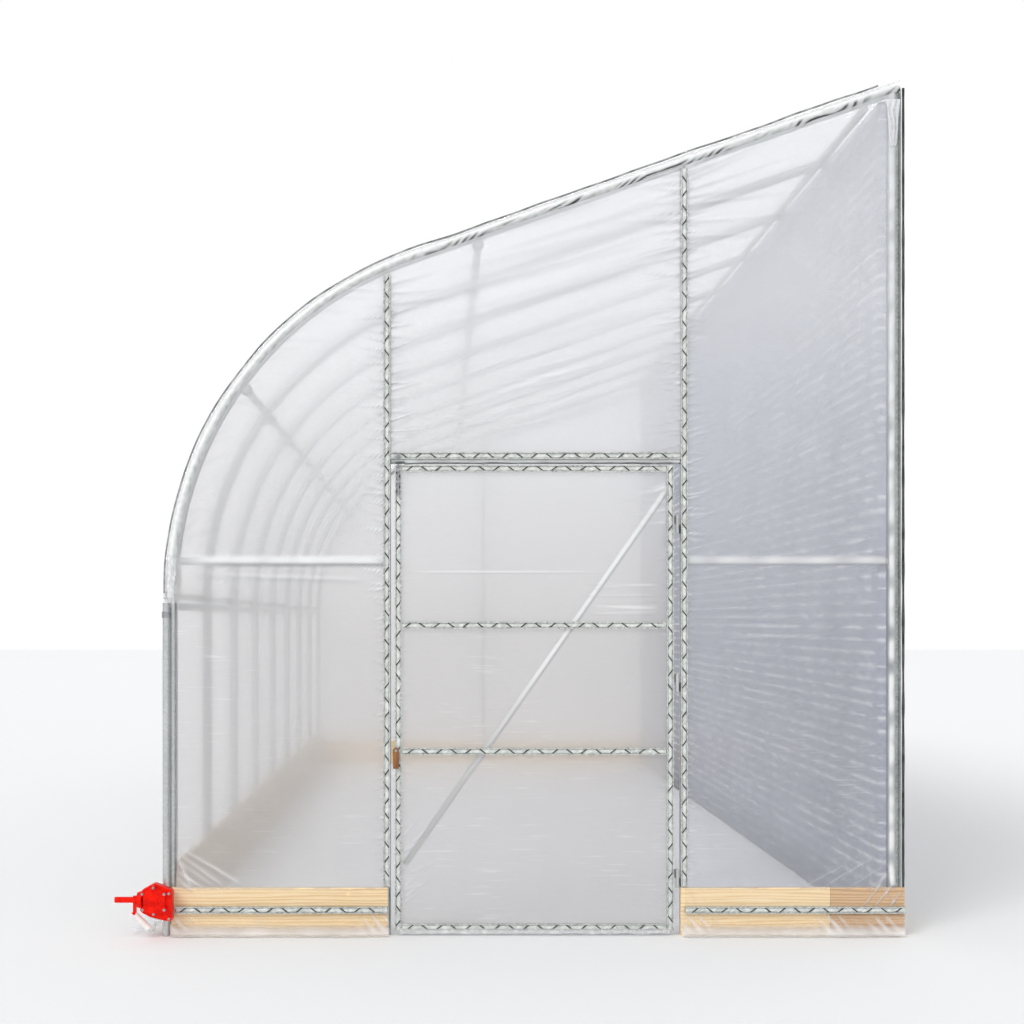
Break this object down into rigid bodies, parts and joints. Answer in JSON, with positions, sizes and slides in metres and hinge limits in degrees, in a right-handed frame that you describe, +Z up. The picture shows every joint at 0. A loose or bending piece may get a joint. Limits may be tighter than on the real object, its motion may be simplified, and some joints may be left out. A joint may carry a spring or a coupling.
{
  "type": "polytunnel greenhouse",
  "caption": "Lean-to polytunnel greenhouse: curved tube hoops under clear film, hinged gable door, board skirting and a roll-up low side with a hand winder.",
  "frame": {"origin": "middle of the building's bounding box at ground level", "axes": "+X from the low roll-up side to the tall side, +Y from the door gable to the back gable, +Z up"},
  "size_m": [3.1909, 8.1822, 3.4646],
  "materials": {
    "galvanised_tube": "hot-dip galvanised steel, dull spangle, light streaks",
    "tall_post": "weathered galvanised steel, grey-green cast",
    "fittings": "zinc-plated clamps, sleeves, hinges and bolts",
    "channel": "roll-formed lock channel with a black coated spring wire",
    "film": "clear greenhouse film, soft haze, creases",
    "milky_sheet": "woven sheet, pale lavender grey, satin",
    "board": "planed pine, pale, some boards browner",
    "red_paint": "glossy red enamel on a cast housing",
    "white_plastic": "moulded white plastic grip",
    "button_wood": "brown stained hardwood"
  },
  "bodies": {
    "house": {"low_posts": "galvanised_tube", "hoop_bends": "galvanised_tube", "rafters": "galvanised_tube", "hoop_sleeves": "fittings", "tall_posts": "tall_post", "purlins": "galvanised_tube", "purlin_clamps": "fittings", "door_posts": "galvanised_tube", "gable_rails": "galvanised_tube", "back_post": "galvanised_tube", "front_boards": "board", "low_side_boards": "board", "tall_side_boards": "board", "back_boards": "board", "gable_channels": "channel", "board_channels": "channel", "eave_channel": "channel", "ridge_channel": "channel", "shoulder_film": "film", "roof_film": "film", "front_film_left": "film", "front_film_top": "film", "front_film_right": "film", "back_film": "film", "tall_side_sheet": "milky_sheet", "tall_side_rails": "galvanised_tube", "side_curtain": "film", "curtain_skirt": "film", "front_hems": "film", "roll_tube": "galvanised_tube", "guide_pole": "galvanised_tube", "pole_clip": "fittings", "winder_housing": "red_paint", "winder_guide": "red_paint", "hinge_pins": "fittings", "bolt_keeper": "fittings"},
    "door": {"door_frame": "galvanised_tube", "door_channels": "channel", "door_film": "film", "hinge_sleeves": "fittings", "latch_fittings": "fittings"},
    "bolt": {"bolt_rod": "fittings"},
    "button": {"turn_button": "button_wood"},
    "crank": {"crank": "red_paint", "crank_grip": "white_plastic"}
  },
  "joints": [
    {"name": "door_hinge", "type": "hinge", "parent": "house", "child": "door", "pos_m": [0.67185, -3.999, 0.95], "axis": [0, 0, 1], "range_deg": [0, 110]},
    {"name": "bolt_slide", "type": "slide", "parent": "door", "child": "bolt", "axis": [0, 0, 1], "range_m": [0, 0.035]},
    {"name": "button_turn", "type": "hinge", "parent": "door", "child": "button", "pos_m": [-0.46465, -4.001, 0.749], "axis": [0, 1, 0], "range_deg": [0, 90]},
    {"name": "crank_turn", "type": "hinge", "parent": "house", "child": "crank", "pos_m": [-1.58935, -4.0516, 0.155], "axis": [1, 0, 0], "continuous": true}
  ]
}
